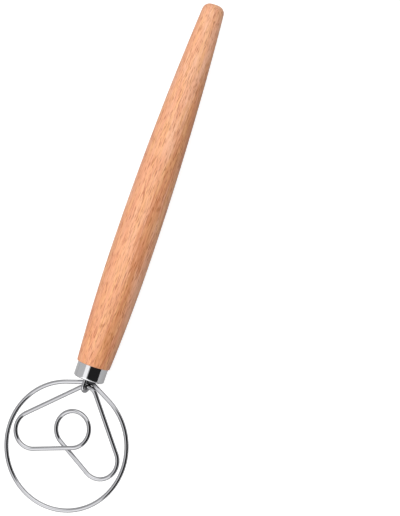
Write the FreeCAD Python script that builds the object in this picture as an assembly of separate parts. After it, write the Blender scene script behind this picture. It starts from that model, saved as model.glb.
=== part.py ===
import FreeCAD, Part
import math
import os

# Dough whisk: a turned hardwood handle with a steel ferrule, and a head of three bent wires.
# Millimetres. The origin is where a hand holds it: in the middle of the grip, on the handle's axis
# at its belly. +X runs to the butt end, the wire head points along -X, and its loops lie level.

# Wire head, radii to the middle of the wire
WIRE_DIA = 2.7
RING_RADIUS = 40.7
RING_SHOULDER_DEG = 22.0      # where the ring leaves its circle for the straight runs to its peak
RING_PEAK_RADIUS = 5.0
NECK_RADIUS = 7.5             # the inner loop's bend under the ring's peak
LOBE_RADIUS = 11.85
LOBE_CLEARANCE = 2.145        # clear space between each lobe and the ring
LOBE_AHEAD = 0.5              # lobe centre ahead of the ring centre, towards the handle
EYE_RADIUS = 11.6
EYE_AHEAD = 11.35
CROSSING_GAP = 0.5            # clear space where the inner loop crosses itself
HEAD_TURN_DEG = 3.2           # ring and inner loop sit turned about the ring's centre

# Hairpin that hooks both loops to the handle
HAIRPIN_SIDE_GAP = 0.6        # between each leg and the wires that it straddles
HAIRPIN_TURN_DEG = 10.0       # turn of its plane about the handle's axis
HAIRPIN_DEPTH = 28.0          # length of the legs inside the bore

# Ferrule, a drawn cap
FERRULE_DIA = 19.8
FERRULE_WALL = 0.8
FERRULE_SHOWN = 9.6
FERRULE_EDGE_ROUND = 1.3
FERRULE_INNER_ROUND = 0.5

# Handle
HANDLE_LENGTH = 239.35        # shoulder to butt end
NECK_DIA = 21.6
BELLY_DIA = 26.3
BELLY_FROM_SHOULDER = 74.25
BUTT_DIA = 13.4
BUTT_ROUND = 4.8
SHOULDER_ROUND = 0.9
BARREL_PASS = 9.0             # straight passes that the barrel's long arcs are turned in
BORE_SPARE_DEPTH = 4.0        # bore beyond the ends of the hairpin's legs
DRILL_POINT_DEG = 118.0

# Fits
SEAT_GAP = 0.05               # pieces that bear on each other
TENON_FIT = 0.05
TENON_END_GAP = 0.3
SLOT_FIT = 0.15
RESIN_FILM = 0.4              # resin between the legs and the wall of the bore
POINT_SPACING = 0.4           # along a wire where its gaps are measured
BEND_STEP_DEG = 3             # round the hairpin's bend where its seat is measured

V = FreeCAD.Vector
X_AXIS = V(1, 0, 0)
Z_AXIS = V(0, 0, 1)

wire_radius = WIRE_DIA / 2
shoulder_angle = math.radians(RING_SHOULDER_DEG)
head_turn = math.radians(HEAD_TURN_DEG)
hairpin_turn = math.radians(HAIRPIN_TURN_DEG)

# The ring's peak bears on the ferrule, and the inner loop's neck bears on the ring's straight runs
peak_ahead = (RING_RADIUS - RING_PEAK_RADIUS) / math.cos(shoulder_angle)
ring_rise = peak_ahead * math.cos(head_turn) + RING_PEAK_RADIUS
neck_ahead = (RING_RADIUS - NECK_RADIUS - WIRE_DIA - SEAT_GAP) / math.cos(shoulder_angle)

# Each lobe lies inside the ring by its clearance
lobe_reach = RING_RADIUS - WIRE_DIA - LOBE_CLEARANCE - LOBE_RADIUS
lobe_spread = math.sqrt(lobe_reach ** 2 - LOBE_AHEAD ** 2)

# Stations along the handle's axis, from the belly
shoulder_x = -BELLY_FROM_SHOULDER
butt_x = shoulder_x + HANDLE_LENGTH
mouth_x = shoulder_x - FERRULE_SHOWN
ring_x = mouth_x - wire_radius - SEAT_GAP - ring_rise
tenon_x = mouth_x + FERRULE_WALL + TENON_END_GAP
leg_end_x = tenon_x + HAIRPIN_DEPTH
ring_centre = V(ring_x, 0, 0)

# Hairpin and what it passes through
hairpin_bend = WIRE_DIA + HAIRPIN_SIDE_GAP
hairpin_across = V(0, math.sin(hairpin_turn), math.cos(hairpin_turn))
bore_radius = hairpin_bend + wire_radius + RESIN_FILM
bore_depth = HAIRPIN_DEPTH + BORE_SPARE_DEPTH
tenon_radius = FERRULE_DIA / 2 - FERRULE_WALL - TENON_FIT
tenon_chamfer = FERRULE_INNER_ROUND + TENON_END_GAP


def on_axis(x):
    return V(x, 0, 0)


def off_axis(x, radius):
    return V(x, 0, radius)


def tangent_arc(start, corner, end):
    """Arc from start to end whose end tangents meet at corner."""
    middle = (start + end) * 0.5
    cosine = (end - start).Length / 2 / (corner - start).Length
    crown = middle + (corner - middle) * (cosine / (1 + cosine))
    return Part.Arc(start, crown, end).toShape()


def biarc(start, start_dir, end, end_dir):
    """Two arcs, tangent to each other, from one point and direction to another."""
    chord = end - start
    reach = chord.dot(start_dir + end_dir)
    spread = 2 * (1 - start_dir.dot(end_dir))
    arm = (math.sqrt(reach ** 2 + spread * chord.dot(chord)) - reach) / spread
    first_corner = start + start_dir * arm
    second_corner = end - end_dir * arm
    joint = (first_corner + second_corner) * 0.5
    return [tangent_arc(start, first_corner, joint), tangent_arc(joint, second_corner, end)]


def run(start, end):
    return Part.LineSegment(start, end).toShape()


def swept(edges):
    """Round wire along a path of straight runs and tangent arcs."""
    first = edges[0]
    section = Part.makeCircle(wire_radius, first.valueAt(first.FirstParameter),
                              first.tangentAt(first.FirstParameter))
    return Part.Wire(edges).makePipeShell([Part.Wire(section)], True, False)


def turned_over(shape):
    """The other half of a loop: each loop repeats itself after a half turn about its own axis."""
    other = shape.copy()
    other.rotate(ring_centre, X_AXIS, 180)
    return other


def closed_loop(name, half_edges):
    half = swept(half_edges)
    loop = half.fuse(turned_over(half)).Solids[0]
    length = 2 * sum(edge.Length for edge in half_edges)
    print(name, "length %.1f mm, volume / (section x length) %.4f"
          % (length, loop.Volume / (math.pi * wire_radius ** 2 * length)))
    loop.rotate(ring_centre, Z_AXIS, -HEAD_TURN_DEG)
    return loop


def head_point(side, ahead, lift):
    """Point of the head before its turn: to the side, towards the handle, and up."""
    return ring_centre + V(ahead, -side, lift)


def head_direction(angle, climb):
    """Direction at an angle from sideways, rising by climb for each unit of run."""
    return V(math.sin(angle), -math.cos(angle), climb).normalize()


def outer_ring():
    """Circle with two straight tangent runs that meet in a low rounded peak under the ferrule."""
    peak = head_point(0, peak_ahead + RING_PEAK_RADIUS, 0)
    peak_end = head_point(RING_PEAK_RADIUS * math.sin(shoulder_angle),
                          peak_ahead + RING_PEAK_RADIUS * math.cos(shoulder_angle), 0)
    run_end = head_point(RING_RADIUS * math.sin(shoulder_angle),
                         RING_RADIUS * math.cos(shoulder_angle), 0)
    far_end = head_point(0, -RING_RADIUS, 0)
    sideways = head_direction(0, 0)
    along_run = head_direction(-shoulder_angle, 0)
    edges = biarc(peak, sideways, peak_end, along_run)
    edges.append(run(peak_end, run_end))
    edges += biarc(run_end, along_run, far_end, -sideways)
    return closed_loop("outer_ring", edges)


class Bend:
    """A round bend of the inner loop, travelled clockwise."""

    def __init__(self, side, ahead, radius):
        self.side = side
        self.ahead = ahead
        self.radius = radius

    def point(self, angle, lift):
        """Where the wire runs at this angle, with the bend's centre on its right."""
        return head_point(self.side - self.radius * math.sin(angle),
                          self.ahead + self.radius * math.cos(angle), lift)

    def angle_to(self, other):
        """Direction of the straight run that touches this bend and the next one."""
        side = other.side - self.side
        ahead = other.ahead - self.ahead
        lean = math.asin((self.radius - other.radius) / math.hypot(side, ahead))
        return math.atan2(ahead, side) - lean


def inner_half():
    """Half of the inner loop: neck, arm, lobe, crossing, and the eye as far as its top."""
    neck = Bend(0, neck_ahead, NECK_RADIUS)
    lobe = Bend(lobe_spread, LOBE_AHEAD, LOBE_RADIUS)
    eye = Bend(0, EYE_AHEAD, EYE_RADIUS)
    arm_angle = neck.angle_to(lobe)
    back_angle = lobe.angle_to(eye) - 2 * math.pi
    eye_turn = back_angle + 2 * math.pi

    # The wire sinks steadily from the neck to the end of the lobe, passes under at the crossing,
    # and climbs round the eye
    drop = (WIRE_DIA + CROSSING_GAP) / 2
    neck_run = -arm_angle * NECK_RADIUS
    arm_run = (lobe.point(arm_angle, 0) - neck.point(arm_angle, 0)).Length
    lobe_run = (arm_angle - back_angle) * LOBE_RADIUS
    slope = drop / (neck_run + arm_run + lobe_run / 2)

    apex = neck.point(0, 0)
    arm_start = neck.point(arm_angle, -slope * neck_run)
    arm_end = lobe.point(arm_angle, -slope * (neck_run + arm_run))
    back_start = lobe.point(back_angle, -drop)
    back_end = eye.point(back_angle, -drop)
    arm_dir = (arm_end - arm_start).normalize()
    back_dir = (back_end - back_start).normalize()

    edges = biarc(apex, head_direction(0, -slope), arm_start, arm_dir)
    edges.append(run(arm_start, arm_end))
    edges += biarc(arm_end, arm_dir, back_start, back_dir)
    edges.append(run(back_start, back_end))
    point, direction = back_end, back_dir
    eye_steps = 3
    for step in range(1, eye_steps + 1):
        phase = math.pi / 2 * step / eye_steps
        angle = back_angle - eye_turn * step / eye_steps
        climb = drop * math.sin(phase) * math.pi / 2 / (eye_turn * EYE_RADIUS)
        next_point = eye.point(angle, -drop * math.cos(phase))
        next_direction = head_direction(angle, climb)
        edges += biarc(point, direction, next_point, next_direction)
        point, direction = next_point, next_direction
    return edges


def points_along(edge):
    """Points on the middle of a wire, closely spaced for its thickness, without the last one."""
    return edge.discretize(Number=max(3, int(edge.Length / POINT_SPACING)))[:-1]


def least_gap(half_edges):
    """Smallest clear space between stretches of the inner loop that are not neighbours."""
    first_half = [point for edge in half_edges for point in points_along(edge)]
    second_half = [point for edge in half_edges for point in points_along(turned_over(edge))]
    points = first_half + second_half[::-1]
    neighbours = int(4 * WIRE_DIA / POINT_SPACING)
    count = len(points)
    gaps = [(points[i] - points[j]).Length
            for i in range(count)
            for j in range(i + neighbours, min(count, i + count - neighbours))]
    return min(gaps) - WIRE_DIA


def inner_loop():
    edges = inner_half()
    print("inner_loop least gap to itself %.2f mm" % least_gap(edges))
    return closed_loop("inner_loop", edges)


def neck_points():
    """Points along the inner loop's neck and arms, where it hangs on the hairpin."""
    half = inner_half()[:3]
    points = []
    for edge in half + [turned_over(edge) for edge in half]:
        edge.rotate(ring_centre, Z_AXIS, -HEAD_TURN_DEG)
        points += points_along(edge)
    return points


def hairpin_bottom():
    """Highest place for the middle of the bend that clears the inner loop's neck by the seat gap."""
    reach = WIRE_DIA + SEAT_GAP
    loop_points = neck_points()
    heights = []
    for degrees in range(-90, 91, BEND_STEP_DEG):
        angle = math.radians(degrees)
        bend_point = (hairpin_across * math.sin(angle) - X_AXIS * math.cos(angle)) * hairpin_bend
        for point in loop_points:
            offset = point - on_axis(hairpin_bend) - bend_point
            aside = math.hypot(offset.y, offset.z)
            if aside < reach:
                heights.append(offset.x - math.sqrt(reach ** 2 - aside ** 2))
    return on_axis(min(heights))


def hairpin():
    """U of wire: a half-round bend under the loops and two legs up into the bore."""
    bottom = hairpin_bottom()
    bend_top = bottom + X_AXIS * hairpin_bend
    leg = X_AXIS * (leg_end_x - bend_top.x)
    near = bend_top + hairpin_across * hairpin_bend
    far = bend_top - hairpin_across * hairpin_bend
    return swept([run(near + leg, near), Part.Arc(near, bottom, far).toShape(), run(far, far + leg)])


def slot():
    """Slot in the ferrule's face that passes both legs of the hairpin."""
    half_width = wire_radius + SLOT_FIT
    narrow = hairpin_across.cross(X_AXIS) * half_width
    start = on_axis(mouth_x - FERRULE_WALL)
    near = start + hairpin_across * hairpin_bend
    far = start - hairpin_across * hairpin_bend
    outline = [run(far + narrow, near + narrow),
               Part.Arc(near + narrow, near + hairpin_across * half_width, near - narrow).toShape(),
               run(near - narrow, far - narrow),
               Part.Arc(far - narrow, far - hairpin_across * half_width, far + narrow).toShape()]
    return Part.Face(Part.Wire(outline)).extrude(X_AXIS * 3 * FERRULE_WALL)


def rim(solid, x, radius):
    """Circular edges of a turned solid at one station and radius."""
    return [edge for edge in solid.Edges
            if isinstance(edge.Curve, Part.Circle)
            and abs(edge.Curve.Center.x - x) < SEAT_GAP
            and abs(edge.Curve.Radius - radius) < SEAT_GAP]


def ferrule():
    """Drawn cap with a rounded face edge, open towards the shoulder."""
    inner_radius = FERRULE_DIA / 2 - FERRULE_WALL
    floor_x = mouth_x + FERRULE_WALL
    cap = Part.makeCylinder(FERRULE_DIA / 2, FERRULE_SHOWN - SEAT_GAP, on_axis(mouth_x), X_AXIS)
    cap = cap.makeFillet(FERRULE_EDGE_ROUND, rim(cap, mouth_x, FERRULE_DIA / 2))
    hollow = Part.makeCylinder(inner_radius, FERRULE_SHOWN, on_axis(floor_x), X_AXIS)
    hollow = hollow.makeFillet(FERRULE_INNER_ROUND, rim(hollow, floor_x, inner_radius))
    return cap.cut(hollow).cut(slot()).Solids[0]


def barrel_end(end_x, end_dia, edge_round):
    """Profile from an end face to the belly: a rounded edge, then an arc that is level at the belly."""
    sink = (BELLY_DIA - end_dia) / 2
    radius = (end_x ** 2 + sink ** 2) / (2 * sink)
    centre = off_axis(0, BELLY_DIA / 2 - radius)
    round_x = end_x - math.copysign(edge_round, end_x)
    round_centre = centre + V(round_x, 0, math.sqrt((radius - edge_round) ** 2 - round_x ** 2))
    face_point = V(end_x, 0, round_centre.z)
    barrel_point = centre + (round_centre - centre) * (radius / (radius - edge_round))
    crown = (face_point - round_centre) + (barrel_point - round_centre)
    rounded = Part.Arc(face_point, round_centre + crown.normalize() * edge_round, barrel_point)

    passes = math.ceil(abs(barrel_point.x) / BARREL_PASS)
    stations = [barrel_point.x * (passes - step) / passes for step in range(passes + 1)]
    points = [centre + V(x, 0, math.sqrt(radius ** 2 - x ** 2)) for x in stations]
    return face_point, [rounded.toShape()] + [run(a, b) for a, b in zip(points, points[1:])]


def bore():
    """Drilled hole for the hairpin's legs, with the cone that the drill leaves."""
    point_length = bore_radius / math.tan(math.radians(DRILL_POINT_DEG / 2))
    drilled = Part.makeCylinder(bore_radius, bore_depth, on_axis(tenon_x), X_AXIS)
    cone = Part.makeCone(bore_radius, 0, point_length, on_axis(tenon_x + bore_depth), X_AXIS)
    return drilled.fuse(cone)


def handle():
    """Turned grip: tenon, shoulder, two long arcs that meet at the belly, rounded butt end."""
    shoulder_face, shoulder_arcs = barrel_end(shoulder_x, NECK_DIA, SHOULDER_ROUND)
    butt_face, butt_arcs = barrel_end(butt_x, BUTT_DIA, BUTT_ROUND)
    tenon = [on_axis(tenon_x),
             off_axis(tenon_x, tenon_radius - tenon_chamfer),
             off_axis(tenon_x + tenon_chamfer, tenon_radius),
             off_axis(shoulder_x, tenon_radius),
             shoulder_face]
    edges = [run(start, end) for start, end in zip(tenon, tenon[1:])]
    edges += shoulder_arcs + butt_arcs[::-1]
    edges += [run(butt_face, on_axis(butt_x)), run(on_axis(butt_x), on_axis(tenon_x))]
    turned = Part.Face(Part.Wire(edges)).revolve(on_axis(0), X_AXIS, 360)
    return turned.cut(bore()).Solids[0]


def resin_plug():
    """Set adhesive that fills the bore round the hairpin's legs."""
    plug = Part.makeCylinder(bore_radius - SEAT_GAP, bore_depth - SEAT_GAP, on_axis(tenon_x), X_AXIS)
    for side in (1, -1):
        leg_start = on_axis(tenon_x) + hairpin_across * (side * hairpin_bend)
        leg_hole = Part.makeCylinder(wire_radius + SEAT_GAP, HAIRPIN_DEPTH + SEAT_GAP, leg_start, X_AXIS)
        plug = plug.cut(leg_hole)
    return plug.Solids[0]


os.makedirs("parts", exist_ok=True)
for make in (handle, ferrule, hairpin, outer_ring, inner_loop, resin_plug):
    make().exportStep("parts/%s.step" % make.__name__)
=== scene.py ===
# %% [markdown]
# A dough whisk: a turned beech handle, a polished steel ferrule on its neck, and a head of three
# bent steel wires. The frame that is loaded here holds the pieces at their real size and place.
# This lesson turns the handle anew, gives every piece its surface, and sets up the studio and the
# camera. Blender works in metres, so a size in millimetres is written as a number times MM. A name
# that ends in _MM holds plain millimetres.

# %% Load the whisk's frame
import math

import bpy
from mathutils import Matrix, Vector


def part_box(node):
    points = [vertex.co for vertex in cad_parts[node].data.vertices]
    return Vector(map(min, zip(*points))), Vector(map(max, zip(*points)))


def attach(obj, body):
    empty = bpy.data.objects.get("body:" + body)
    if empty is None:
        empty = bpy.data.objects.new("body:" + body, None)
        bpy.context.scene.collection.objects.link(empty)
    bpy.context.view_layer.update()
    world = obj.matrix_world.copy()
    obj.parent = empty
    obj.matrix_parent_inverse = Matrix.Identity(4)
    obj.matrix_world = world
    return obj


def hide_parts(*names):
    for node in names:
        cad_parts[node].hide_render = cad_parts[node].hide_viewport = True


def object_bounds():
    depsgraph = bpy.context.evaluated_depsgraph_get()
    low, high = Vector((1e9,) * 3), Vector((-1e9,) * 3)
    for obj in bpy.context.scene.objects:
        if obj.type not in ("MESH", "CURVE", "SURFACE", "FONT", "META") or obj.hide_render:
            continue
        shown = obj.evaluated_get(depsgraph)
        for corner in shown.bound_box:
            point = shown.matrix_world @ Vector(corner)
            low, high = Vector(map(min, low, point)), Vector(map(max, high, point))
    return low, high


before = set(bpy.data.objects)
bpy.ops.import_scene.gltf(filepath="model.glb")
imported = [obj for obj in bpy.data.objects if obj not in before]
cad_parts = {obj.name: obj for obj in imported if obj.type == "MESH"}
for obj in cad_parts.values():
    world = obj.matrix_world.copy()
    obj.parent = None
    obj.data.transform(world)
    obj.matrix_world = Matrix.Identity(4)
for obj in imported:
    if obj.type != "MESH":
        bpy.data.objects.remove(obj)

MM = 0.001
cad_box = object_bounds()
print("whisk, mm:", [round(side / MM, 1) for side in cad_box[1] - cad_box[0]])

# %% [markdown]
# The real handle is turned on a lathe between two centres. In Blender an outline could be spun
# round the axis, which leaves a seam to weld. Here a ring of corners is drawn out along the axis
# instead, station by station, and pulled in or let out at each one. The skin is closed all the way
# round from the start, and its rows of faces run square to the grain, as a lathe's cuts do.

# %% Lathe
LATHE_SIDES = 96
SMOOTH_UNDER_DEG = 35


def deselect_all():
    if bpy.context.object and bpy.context.object.mode != "OBJECT":
        bpy.ops.object.mode_set(mode="OBJECT")
    bpy.ops.object.select_all(action="DESELECT")


def turned(name, stations, bore_tip):
    """Turn a bored piece. Stations of (x, radius) run from the bore's bottom round to the far end."""
    deselect_all()
    x, radius = stations[0]
    bpy.ops.mesh.primitive_circle_add(vertices=LATHE_SIDES, radius=radius,
                                      location=(x, 0, 0), rotation=(0, math.pi / 2, 0))
    piece = bpy.context.object
    piece.name = name
    bpy.ops.object.transform_apply(location=True, rotation=True, scale=True)
    bpy.ops.object.mode_set(mode="EDIT")
    bpy.ops.mesh.select_all(action="SELECT")
    for next_x, next_radius in stations[1:]:
        bpy.ops.mesh.extrude_region_move(TRANSFORM_OT_translate={"value": (next_x - x, 0, 0)})
        share = next_radius / radius
        bpy.ops.transform.resize(value=(1, share, share), center_override=(next_x, 0, 0))
        x, radius = next_x, next_radius
    bpy.ops.mesh.extrude_region_move()
    bpy.ops.mesh.merge(type="CENTER")
    # The first ring is the only open edge left: it is drawn to the tip that the drill leaves.
    bpy.ops.mesh.select_all(action="DESELECT")
    bpy.ops.mesh.select_non_manifold()
    bpy.ops.mesh.extrude_region_move(TRANSFORM_OT_translate={"value": (bore_tip - stations[0][0], 0, 0)})
    bpy.ops.mesh.merge(type="CENTER")
    bpy.ops.mesh.select_all(action="SELECT")
    bpy.ops.mesh.normals_make_consistent(inside=False)
    bpy.ops.object.mode_set(mode="OBJECT")
    bpy.ops.object.shade_smooth_by_angle(angle=math.radians(SMOOTH_UNDER_DEG))
    return piece


print("lathe ready:", LATHE_SIDES, "sides to a turn")

# %% [markdown]
# The handle swells to a belly that fills the palm and thins towards the butt. At the other end a
# shoulder meets the ferrule, and a stub tenon, bored for the wires, goes inside it. The ends, the
# belly and the bore could be typed in again, but then they could drift from the other pieces, so
# they are read from the frame. Only what the frame's boxes don't tell is written here.

# %% Sizes of the handle
handle_low, handle_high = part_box("handle")
ferrule_low, ferrule_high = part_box("ferrule")
plug_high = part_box("resin_plug")[1]
SEAT_GAP = 0.05 * MM
NECK_RADIUS = 10.8 * MM
BUTT_RADIUS = 6.7 * MM
BUTT_ROUND = 4.8 * MM
SHOULDER_ROUND = 0.9 * MM
TENON_RADIUS = 9.05 * MM
TENON_CHAMFER = 0.8 * MM
DRILL_POINT_DEG = 118
belly_radius = handle_high.z
butt_x = handle_high.x
shoulder_x = ferrule_high.x + SEAT_GAP
tenon_x = handle_low.x
bore_radius = plug_high.z + SEAT_GAP
bore_end = plug_high.x + SEAT_GAP
bore_tip = bore_end + bore_radius / math.tan(math.radians(DRILL_POINT_DEG / 2))
print("grip, mm:", round((butt_x - shoulder_x) / MM, 1), "long,",
      round(2 * belly_radius / MM, 1), "at the belly")

# %% [markdown]
# A turner follows a template for such a barrel. Its outline is two long arcs that meet level at
# the belly, so no bump shows where they join. Each arc ends in a small round: a soft one at the
# butt, which rests in the hand, and a tight one at the shoulder, where the edge is only broken.
# The arcs come from a formula rather than from traced points, so the outline has no wobble.

# %% Outline of the handle
STATION_STEP = 3.0 * MM
ROUND_STEPS = 8


def half_barrel(end_x, end_radius, edge_round):
    """Stations from an end face's edge to the belly: the rounded edge, then the long arc."""
    sink = belly_radius - end_radius
    arc_radius = (end_x ** 2 + sink ** 2) / (2 * sink)
    arc_centre = belly_radius - arc_radius
    side = math.copysign(1, end_x)
    round_x = end_x - side * edge_round
    round_centre = arc_centre + math.sqrt((arc_radius - edge_round) ** 2 - round_x ** 2)
    lean = math.asin(abs(round_x) / (arc_radius - edge_round))
    stations = []
    for step in range(ROUND_STEPS + 1):
        angle = math.pi / 2 - (math.pi / 2 - lean) * step / ROUND_STEPS
        stations.append((round_x + side * edge_round * math.sin(angle),
                         round_centre + edge_round * math.cos(angle)))
    arc_start = stations[-1][0]
    count = math.ceil(abs(arc_start) / STATION_STEP)
    for step in range(1, count + 1):
        x = arc_start * (count - step) / count
        stations.append((x, arc_centre + math.sqrt(arc_radius ** 2 - x ** 2)))
    return stations


outline = [(bore_end, bore_radius),
           (tenon_x, bore_radius),
           (tenon_x, TENON_RADIUS - TENON_CHAMFER),
           (tenon_x + TENON_CHAMFER, TENON_RADIUS),
           (shoulder_x, TENON_RADIUS)]
outline += half_barrel(shoulder_x, NECK_RADIUS, SHOULDER_ROUND)
outline += half_barrel(butt_x, BUTT_RADIUS, BUTT_ROUND)[-2::-1]
print("outline:", len(outline), "stations")

# %% [markdown]
# Now the piece is turned. It starts inside, at the bottom of the bore, comes out over the tenon
# and the shoulder, and runs along the barrel to the butt, so one unbroken skin covers the wood.

# %% Turn the handle
handle = turned("handle_turned", outline, bore_tip)
print("handle:", len(handle.data.polygons), "faces,",
      round(handle.dimensions.x / MM, 1), "mm with the tenon")

# %% [markdown]
# Each finish is a material with one Principled BSDF. It could be wired up by hand in the Shader
# Editor. In a script, three small tools keep the recipes short: one turns a screen colour into the
# linear light that Blender mixes, one adds a node with its settings and links, and one starts a
# material.

# %% Tools for materials


def linear(screen_hex):
    """Linear colour, with alpha, of a screen colour such as #C08A5A."""
    shades = [int(screen_hex[i:i + 2], 16) / 255 for i in (1, 3, 5)]
    return [s / 12.92 if s <= 0.04045 else ((s + 0.055) / 1.055) ** 2.4 for s in shades] + [1.0]


def add_node(tree, kind, inputs=None, **settings):
    """Add a node; an input is a number, a colour, a vector or another node's output."""
    new = tree.nodes.new(kind)
    for name, value in settings.items():
        setattr(new, name, value)
    for name, value in (inputs or {}).items():
        if isinstance(value, bpy.types.NodeSocket):
            tree.links.new(value, new.inputs[name])
        else:
            new.inputs[name].default_value = value
    return new


def new_material(name):
    material = bpy.data.materials.new(name)
    material.use_nodes = True
    return material, material.node_tree, material.node_tree.nodes["Principled BSDF"]


print("screen grey #808080 is", round(linear("#808080")[0], 3), "in linear light")

# %% [markdown]
# The handle is steamed beech. Whatever grows in it lies along the grain: long faint swells, fine
# fibres, and the short dark dashes that mark beech. A photograph of wood could be wrapped round
# the barrel, but it would stretch at the butt and show a seam. Noise in the piece's own
# coordinates fills the whole blank instead, so the turned surface cuts through it as a tool does.
# Each pattern below is noise drawn out to a real length and width in millimetres. The real dashes
# are about 0.3 mm wide, too fine to show, so they are drawn 0.5 mm wide.

# %% Grain of the wood
GRAIN_SLOPE_DEG = 1.3
# Each pattern: its length and width, and the levels of detail in its noise.
GRAIN_MM = {"swell": (55, 6.0, 3), "ragged": (15, 0.9, 2), "blotch": (16, 3.5, 2), "straw": (26, 2.2, 2),
            "fibre": (22, 0.8, 2), "crowd": (24, 5.0, 1), "dash": (5, 0.5, 1)}
beech, wood, wood_skin = new_material("steamed_beech_oiled")
wood_place = add_node(wood, "ShaderNodeTexCoord").outputs["Object"]
blank = add_node(wood, "ShaderNodeMapping",
                 {"Vector": wood_place, "Rotation": (0, 0, math.radians(GRAIN_SLOPE_DEG)),
                  "Scale": (1 / MM, 1 / MM, 1 / MM)}).outputs["Vector"]
grain = {}
for pattern, (length, width, detail) in GRAIN_MM.items():
    drawn_out = add_node(wood, "ShaderNodeMapping",
                         {"Vector": blank, "Scale": (1 / length, 1 / width, 1 / width)})
    noise = add_node(wood, "ShaderNodeTexNoise",
                     {"Vector": drawn_out.outputs["Vector"], "Scale": 1.0, "Detail": detail})
    grain[pattern] = noise.outputs["Fac"]
print("grain patterns:", ", ".join(f"{name} {size[0]} x {size[1]} mm" for name, size in GRAIN_MM.items()))

# %% [markdown]
# A tree grows in layers, and this blank was sawn so that they stand upright in it. The barrel cuts
# them into long bands. The colours across the blank are partly these layers and partly painted
# light. The dark band on the side that faces the tent's dark opening is painted shade laid over a
# darker layer. The paler middle and edges of the barrel, as the camera sees it, are painted light.
# The bands could be painted on the skin, but a colour ramp across the blank puts them inside the
# wood, and the round of the barrel then bends them by itself. The swell and the ragged pattern move
# the edges by a few millimetres.

# %% Growth layers and painted light
# Colours across the blank: growth layers, with painted shade in the dark band and painted light at the
# middle and both edges.
LAYERS_AND_PAINTED_LIGHT_MM = ((-13.0, "#F4C8AC"), (-11.0, "#E3AC8B"), (-9.5, "#D59971"), (-7.6, "#D4966D"),
             (-5.0, "#F1BFA0"), (-1.0, "#F2C1A2"), (2.0, "#EEB996"), (4.0, "#ECB696"),
             (9.0, "#E7AF8F"), (13.0, "#F4C6AB"))
SWELL_MM = 1.6
RAGGED_MM = 2.6
# Noise runs from 0 to 1, but it seldom leaves this span.
NOISE_SPAN = (0.25, 0.75)
first_mm, last_mm = LAYERS_AND_PAINTED_LIGHT_MM[0][0], LAYERS_AND_PAINTED_LIGHT_MM[-1][0]
along_across = add_node(wood, "ShaderNodeSeparateXYZ", {"Vector": blank})
depth = along_across.outputs["Y"]
# Inputs 0 to 4 of Map Range are the value, the range that it has and the range that it gets.
for pattern, shift in (("swell", SWELL_MM), ("ragged", RAGGED_MM)):
    moved = add_node(wood, "ShaderNodeMapRange",
                     {0: grain[pattern], 1: NOISE_SPAN[0], 2: NOISE_SPAN[1], 3: -shift, 4: shift})
    depth = add_node(wood, "ShaderNodeMath",
                     {0: depth, 1: moved.outputs[0]}, operation="ADD").outputs[0]
share = add_node(wood, "ShaderNodeMapRange", {0: depth, 1: first_mm, 2: last_mm, 3: 0.0, 4: 1.0})
layers_with_painted_light = add_node(wood, "ShaderNodeValToRGB", {"Fac": share.outputs[0]})
stops = layers_with_painted_light.color_ramp.elements
while len(stops) < len(LAYERS_AND_PAINTED_LIGHT_MM):
    stops.new(0.5)
for stop, (depth_mm, colour) in zip(stops, LAYERS_AND_PAINTED_LIGHT_MM):
    stop.position = (depth_mm - first_mm) / (last_mm - first_mm)
    stop.color = linear(colour)
print("growth layers:", len(stops), "colours over", last_mm - first_mm, "mm")

# %% [markdown]
# On top of the layers lie the smaller marks. The blank deepens a little towards the neck, soft
# blotches lean to pink and streaks to straw, fibres darken in fine lines, and the dashes come in
# crowds. Each one is a Mix node laid over the last, as thin washes of stain would be.

# %% Blotches, streaks, fibres and dashes
DEEPER_FROM_MM, DEEPER_TO_MM = 110, -70
SPARSE, CROWDED = -0.04, 0.05
# Most of a noise lies between these two values.
NOISE_MIDDLE = (0.3, 0.7)
crowd = add_node(wood, "ShaderNodeMapRange",
                 {0: grain["crowd"], 1: NOISE_MIDDLE[0], 2: NOISE_MIDDLE[1], 3: SPARSE, 4: CROWDED})
dashes = add_node(wood, "ShaderNodeMath", {0: grain["dash"], 1: crowd.outputs[0]}, operation="ADD")
# Each wash: what drives it, where it starts and is full, how strong it gets, its colour and its way.
WASHES = (("deeper", along_across.outputs["X"], DEEPER_FROM_MM, DEEPER_TO_MM, 0.70, "#F3DDCE", "MULTIPLY"),
          ("blotch", grain["blotch"], 0.35, 0.65, 0.45, "#EBA47C", "MIX"),
          ("straw", grain["straw"], 0.45, 0.70, 0.60, "#F2BD86", "MIX"),
          ("fibre", grain["fibre"], 0.30, 0.70, 0.50, "#E4C2AC", "MULTIPLY"),
          ("dash", dashes.outputs[0], 0.53, 0.70, 0.62, "#9C4A20", "MIX"))
wood_colour = layers_with_painted_light.outputs["Color"]
for wash, driver, start, full, strength, tint, way in WASHES:
    amount = add_node(wood, "ShaderNodeMapRange", {0: driver, 1: start, 2: full, 3: 0.0, 4: strength})
    # Inputs 0, 6 and 7 of a colour Mix are the share and the two colours; output 2 is the mix.
    washed = add_node(wood, "ShaderNodeMix",
                      {0: amount.outputs[0], 6: wood_colour, 7: linear(tint)},
                      data_type="RGBA", blend_type=way)
    wood_colour = washed.outputs[2]
    print(wash, "over the wood:", tint, "up to", strength)
dash_depth = amount.outputs[0]
wood.links.new(wood_colour, wood_skin.inputs["Base Color"])

# %% [markdown]
# The handle is sanded, then rubbed with oil. Oil fills the surface, so the eye sees a satin skin
# with a soft shine, a little duller in the dashes, where the pores drink the oil and leave a
# shallow groove. Roughness and bump carry that; a clear coat would look like varnish.

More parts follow.
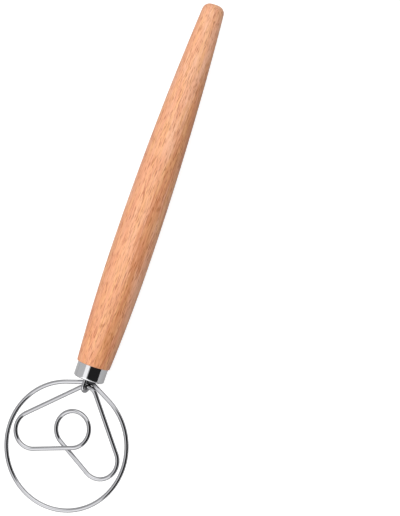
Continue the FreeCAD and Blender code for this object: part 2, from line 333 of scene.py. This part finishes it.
# %% Oiled skin of the wood
OIL_IOR = 1.47
OIL_SHINE = 0.3
SATIN, DULL = 0.42, 0.58
GROOVE_DEPTH = 0.03 * MM
GROOVE_STRENGTH = 0.2
wood_skin.inputs["IOR"].default_value = OIL_IOR
wood_skin.inputs["Specular IOR Level"].default_value = OIL_SHINE
satin = add_node(wood, "ShaderNodeMapRange", {0: dash_depth, 1: 0.0, 2: 1.0, 3: SATIN, 4: DULL})
wood.links.new(satin.outputs[0], wood_skin.inputs["Roughness"])
grooves = add_node(wood, "ShaderNodeBump",
                   {"Height": dash_depth, "Distance": -GROOVE_DEPTH, "Strength": GROOVE_STRENGTH})
wood.links.new(grooves.outputs["Normal"], wood_skin.inputs["Normal"])
handle.data.materials.append(beech)
print("handle finish:", handle.data.materials[0].name)

# %% [markdown]
# The wires are stainless steel, drawn and then polished. The ferrule is thin stainless sheet,
# drawn to a cap and polished the same way. Polished metal shows the room more than itself, so the
# eye sees hard-edged bands of light and dark, and the recipe is short: a clear grey, full metallic
# and low roughness. The polishing wheel leaves a faint ripple, which keeps it from looking ruled.
# In the pocket under the ferrule's mouth the colour turns dark grey. That is painted shade, and it
# stands in for the dark that the steel mirrors there.

# %% Steel of the wires and the ferrule
# Painted shade: round this point under the ferrule's mouth the steel is coloured dark grey.
PAINTED_SHADE_AT = Vector((ferrule_low.x - 2.0 * MM, -3.2 * MM, -0.5 * MM))
PAINTED_SHADE_FULL = 2.2 * MM
PAINTED_SHADE_GONE = 4.6 * MM
PAINTED_SHADE_GREY = "#2C2C2E"
RIPPLE_HEIGHT = 0.02 * MM
RIPPLE_STRENGTH = 0.12
BEST_POLISH, WORST_POLISH = 0.6, 1.4


def polished_stainless(name, colour, haze, ripple_mm):
    material, steel, skin = new_material(name)
    place = add_node(steel, "ShaderNodeTexCoord").outputs["Object"]
    # The colour fades from the painted shade's dark grey near the point to the steel's own grey.
    away = add_node(steel, "ShaderNodeVectorMath", {0: place, 1: PAINTED_SHADE_AT}, operation="DISTANCE")
    out_of_painted_shade = add_node(steel, "ShaderNodeMapRange",
                       {0: away.outputs["Value"], 1: PAINTED_SHADE_FULL, 2: PAINTED_SHADE_GONE, 3: 0.0, 4: 1.0})
    shade = add_node(steel, "ShaderNodeMix",
                     {0: out_of_painted_shade.outputs[0], 6: linear(PAINTED_SHADE_GREY), 7: linear(colour)},
                     data_type="RGBA")
    ripple = add_node(steel, "ShaderNodeTexNoise",
                      {"Vector": place, "Scale": 1 / (ripple_mm * MM), "Detail": 2.0}).outputs["Fac"]
    polish = add_node(steel, "ShaderNodeMapRange",
                      {0: ripple, 1: NOISE_MIDDLE[0], 2: NOISE_MIDDLE[1],
                       3: BEST_POLISH * haze, 4: WORST_POLISH * haze})
    uneven = add_node(steel, "ShaderNodeBump",
                      {"Height": ripple, "Distance": RIPPLE_HEIGHT, "Strength": RIPPLE_STRENGTH})
    skin.inputs["Metallic"].default_value = 1.0
    steel.links.new(shade.outputs[2], skin.inputs["Base Color"])
    steel.links.new(polish.outputs[0], skin.inputs["Roughness"])
    steel.links.new(uneven.outputs["Normal"], skin.inputs["Normal"])
    return material


wire_steel = polished_stainless("stainless_wire_polished", "#B0B0B3", haze=0.03, ripple_mm=3.0)
sheet_steel = polished_stainless("stainless_sheet_polished", "#D6D6D8", haze=0.07, ripple_mm=6.0)
for piece, steel in (("outer_ring", wire_steel), ("inner_loop", wire_steel),
                     ("hairpin", wire_steel), ("ferrule", sheet_steel)):
    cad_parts[piece].material_slots[0].material = steel
    print(piece, "is", steel.name)

# %% [markdown]
# Inside the bore a plug of epoxy holds the legs of the hairpin. Once the whisk is put together, only
# a glint of it shows through the slot in the ferrule's face, but it is a piece of the object, so it
# gets its own finish: a glossy honey colour, a little cloudy where air was stirred in.

# %% Epoxy in the bore
CLOUD_MM = 2.0
GLOSSY = 0.25
CLEAR_HONEY, CLOUDY_HONEY = "#B98D4F", "#DCC08C"
epoxy, glue, glue_skin = new_material("epoxy_set_hard")
glue_place = add_node(glue, "ShaderNodeTexCoord").outputs["Object"]
cloud = add_node(glue, "ShaderNodeTexNoise",
                 {"Vector": glue_place, "Scale": 1 / (CLOUD_MM * MM), "Detail": 2.0})
honey = add_node(glue, "ShaderNodeMix",
                 {0: cloud.outputs["Fac"], 6: linear(CLEAR_HONEY), 7: linear(CLOUDY_HONEY)},
                 data_type="RGBA")
glue.links.new(honey.outputs[2], glue_skin.inputs["Base Color"])
glue_skin.inputs["Roughness"].default_value = GLOSSY
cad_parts["resin_plug"].material_slots[0].material = epoxy
print("resin_plug is", epoxy.name)

# %% [markdown]
# The whisk lies on a wide sheet of white paper, as in a studio. Paper alone comes out grey under
# even light. More light would turn it white and wash out the wood, so the paper glows by itself
# instead: strongly for the camera, and faintly for the steel that mirrors it. Its own colour is a
# grey, because the rims of the wires would drown in a brighter sheet. The soft shadow stays.

# %% Paper under the whisk
PAPER_HALF = 6.0
PAPER_GREY = "#B2B2B2"
PAPER_ROUGHNESS = 0.9
GLOW_SEEN = 0.75
GLOW_MIRRORED = 0.08
deselect_all()
bpy.ops.mesh.primitive_plane_add(size=2 * PAPER_HALF, location=(0, 0, cad_box[0].z))
paper = bpy.context.object
paper.name = "paper_sweep"
white_paper, sheet, sheet_skin = new_material("white_paper")
sheet_skin.inputs["Base Color"].default_value = linear(PAPER_GREY)
sheet_skin.inputs["Roughness"].default_value = PAPER_ROUGHNESS
sheet_skin.inputs["Emission Color"].default_value = (1, 1, 1, 1)
rays = add_node(sheet, "ShaderNodeLightPath")
seen = add_node(sheet, "ShaderNodeMath",
                {0: rays.outputs["Is Camera Ray"], 1: GLOW_SEEN}, operation="MULTIPLY")
glow = add_node(sheet, "ShaderNodeMath",
                {0: rays.outputs["Is Glossy Ray"], 1: GLOW_MIRRORED, 2: seen.outputs[0]},
                operation="MULTIPLY_ADD")
sheet.links.new(glow.outputs[0], sheet_skin.inputs["Emission Strength"])
paper.data.materials.append(white_paper)
print("paper:", 2 * PAPER_HALF, "m across, at z", round(cad_box[0].z / MM, 2), "mm")

# %% [markdown]
# Bright metal needs something dark to show. So the whisk lies in a white tent with one wide dark
# opening on the side of the camera, which draws the black stripe down the ferrule and the dark
# bands along the wires, and with a brighter panel high at each end. Cards and cloth could be
# modelled for that. A world whose light depends on the direction does the same with a few nodes:
# the opening is an ellipsoid round one direction, and the distance from it decides light or dark.
# Past the edge of the paper the camera itself sees plain white.

# %% Tent of light
TENT = 0.65
END_PANELS = 0.9
PANEL_ENDWISE = (0.25, 0.55)
PANEL_HEIGHT = (0.05, 0.3)
PANEL_ASIDE = (0.5, 0.7)
DARK = 0.02
OPENING_ELEVATION = math.radians(27.5)
OPENING_ASIDE = 0.05
OPENING_REACH = (0.84, 0.98, 1.05)
OPENING_EDGE = (0.94, 1.03)
opening_from = Vector((OPENING_ASIDE, -math.cos(OPENING_ELEVATION), math.sin(OPENING_ELEVATION)))
world = bpy.data.worlds.new("tent")
bpy.context.scene.world = world
world.use_nodes = True
tent = world.node_tree
tent.nodes.clear()
direction = add_node(tent, "ShaderNodeTexCoord").outputs["Generated"]
toward = add_node(tent, "ShaderNodeSeparateXYZ", {"Vector": direction})
endwise = add_node(tent, "ShaderNodeMath", {0: toward.outputs["X"]}, operation="ABSOLUTE")
aside = add_node(tent, "ShaderNodeMath", {0: toward.outputs["Y"]}, operation="ABSOLUTE")
hung = add_node(tent, "ShaderNodeMapRange",
                {0: toward.outputs["Z"], 1: PANEL_HEIGHT[0], 2: PANEL_HEIGHT[1],
                 3: TENT, 4: TENT + END_PANELS},
                interpolation_type="SMOOTHSTEP")
narrow = add_node(tent, "ShaderNodeMapRange",
                  {0: aside.outputs[0], 1: PANEL_ASIDE[0], 2: PANEL_ASIDE[1],
                   3: hung.outputs[0], 4: TENT},
                  interpolation_type="SMOOTHSTEP")
panels = add_node(tent, "ShaderNodeMapRange",
                  {0: endwise.outputs[0], 1: PANEL_ENDWISE[0], 2: PANEL_ENDWISE[1],
                   3: TENT, 4: narrow.outputs[0]},
                  interpolation_type="SMOOTHSTEP")
opening = add_node(tent, "ShaderNodeMapping",
                   {"Vector": direction, "Location": opening_from,
                    "Rotation": (math.pi / 2 - OPENING_ELEVATION, 0, 0), "Scale": OPENING_REACH},
                   vector_type="TEXTURE")
reach = add_node(tent, "ShaderNodeVectorMath", {0: opening.outputs["Vector"]}, operation="LENGTH")
level = add_node(tent, "ShaderNodeMapRange",
                 {0: reach.outputs["Value"], 1: OPENING_EDGE[0], 2: OPENING_EDGE[1],
                  3: DARK, 4: panels.outputs[0]},
                 interpolation_type="SMOOTHSTEP")
cloth = add_node(tent, "ShaderNodeBackground", {"Color": (1, 1, 1, 1), "Strength": level.outputs[0]})
plain = add_node(tent, "ShaderNodeBackground", {"Color": (1, 1, 1, 1), "Strength": 1.0})
looking = add_node(tent, "ShaderNodeLightPath")
shown = add_node(tent, "ShaderNodeMixShader",
                 {0: looking.outputs["Is Camera Ray"], 1: cloth.outputs[0], 2: plain.outputs[0]})
add_node(tent, "ShaderNodeOutputWorld", {"Surface": shown.outputs[0]})
print("tent:", len(tent.nodes), "nodes, level", TENT, "with panels up to", TENT + END_PANELS)

# %% [markdown]
# Two lamps finish the light. A long softbox hangs over the handle and draws the bright stripe on
# the ferrule. A small lamp beside the camera fills the side of the wood that the dark opening
# leaves dim. Steel would show that lamp as a white spot, so glossy rays don't see it.

# %% Softbox and fill
SOFTBOX_TOWARD = Vector((0, 0.25, 0.968))
SOFTBOX_AWAY = 1.2
SOFTBOX_SIZE = (0.6, 2.6)
SOFTBOX_WATTS = 3.2
FILL_TOWARD = Vector((0.1, -0.40, 0.91))
FILL_AWAY = 1.3
FILL_SIZE = (0.5, 0.5)
FILL_WATTS = 7.2


def hang_lamp(name, toward, away, size, watts):
    """Hang a rectangular lamp that shines back at the whisk; its second side lies along the handle."""
    deselect_all()
    bpy.ops.object.light_add(type="AREA", location=toward.normalized() * away)
    lamp = bpy.context.object
    lamp.name = name
    lamp.rotation_euler = toward.to_track_quat("Z", "X").to_euler()
    lamp.data.shape = "RECTANGLE"
    lamp.data.size, lamp.data.size_y = size
    lamp.data.energy = watts
    print(name, size, "m,", watts, "W, at", round(away, 2), "m")
    return lamp


hang_lamp("softbox", SOFTBOX_TOWARD, SOFTBOX_AWAY, SOFTBOX_SIZE, SOFTBOX_WATTS)
fill = hang_lamp("fill", FILL_TOWARD, FILL_AWAY, FILL_SIZE, FILL_WATTS)
fill.visible_glossy = False

# %% [markdown]
# The camera looks down at the whisk from about a metre away through a long lens, so the handle
# hardly narrows with distance. Its place and turn were found by matching the ends of the handle
# and the ring of wires. A turn could be given as three angles, but a direction to the right of the
# picture says more plainly how the frame is rolled.

# %% Camera
CAMERA_AT = Vector((58.94, -347.24, 1014.21)) * MM
AIM_AT = Vector((12.30, -43.94, 0.0)) * MM
PICTURE_RIGHT = Vector((0.32242, -0.90274, -0.2848))
LENS_MM = 118.6
SENSOR_MM = 36.0
back = (CAMERA_AT - AIM_AT).normalized()
up = back.cross(PICTURE_RIGHT).normalized()
right = up.cross(back)
bpy.ops.object.camera_add(location=CAMERA_AT)
camera = bpy.context.object
camera.rotation_euler = Matrix((right, up, back)).transposed().to_euler()
camera.data.lens = LENS_MM
camera.data.sensor_width = SENSOR_MM
bpy.context.scene.camera = camera
bpy.context.scene.view_settings.view_transform = "Standard"
print("camera:", round((CAMERA_AT - AIM_AT).length, 3), "m from its aim, lens", LENS_MM, "mm")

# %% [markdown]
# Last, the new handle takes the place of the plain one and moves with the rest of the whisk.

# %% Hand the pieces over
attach(handle, "root")
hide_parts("handle")
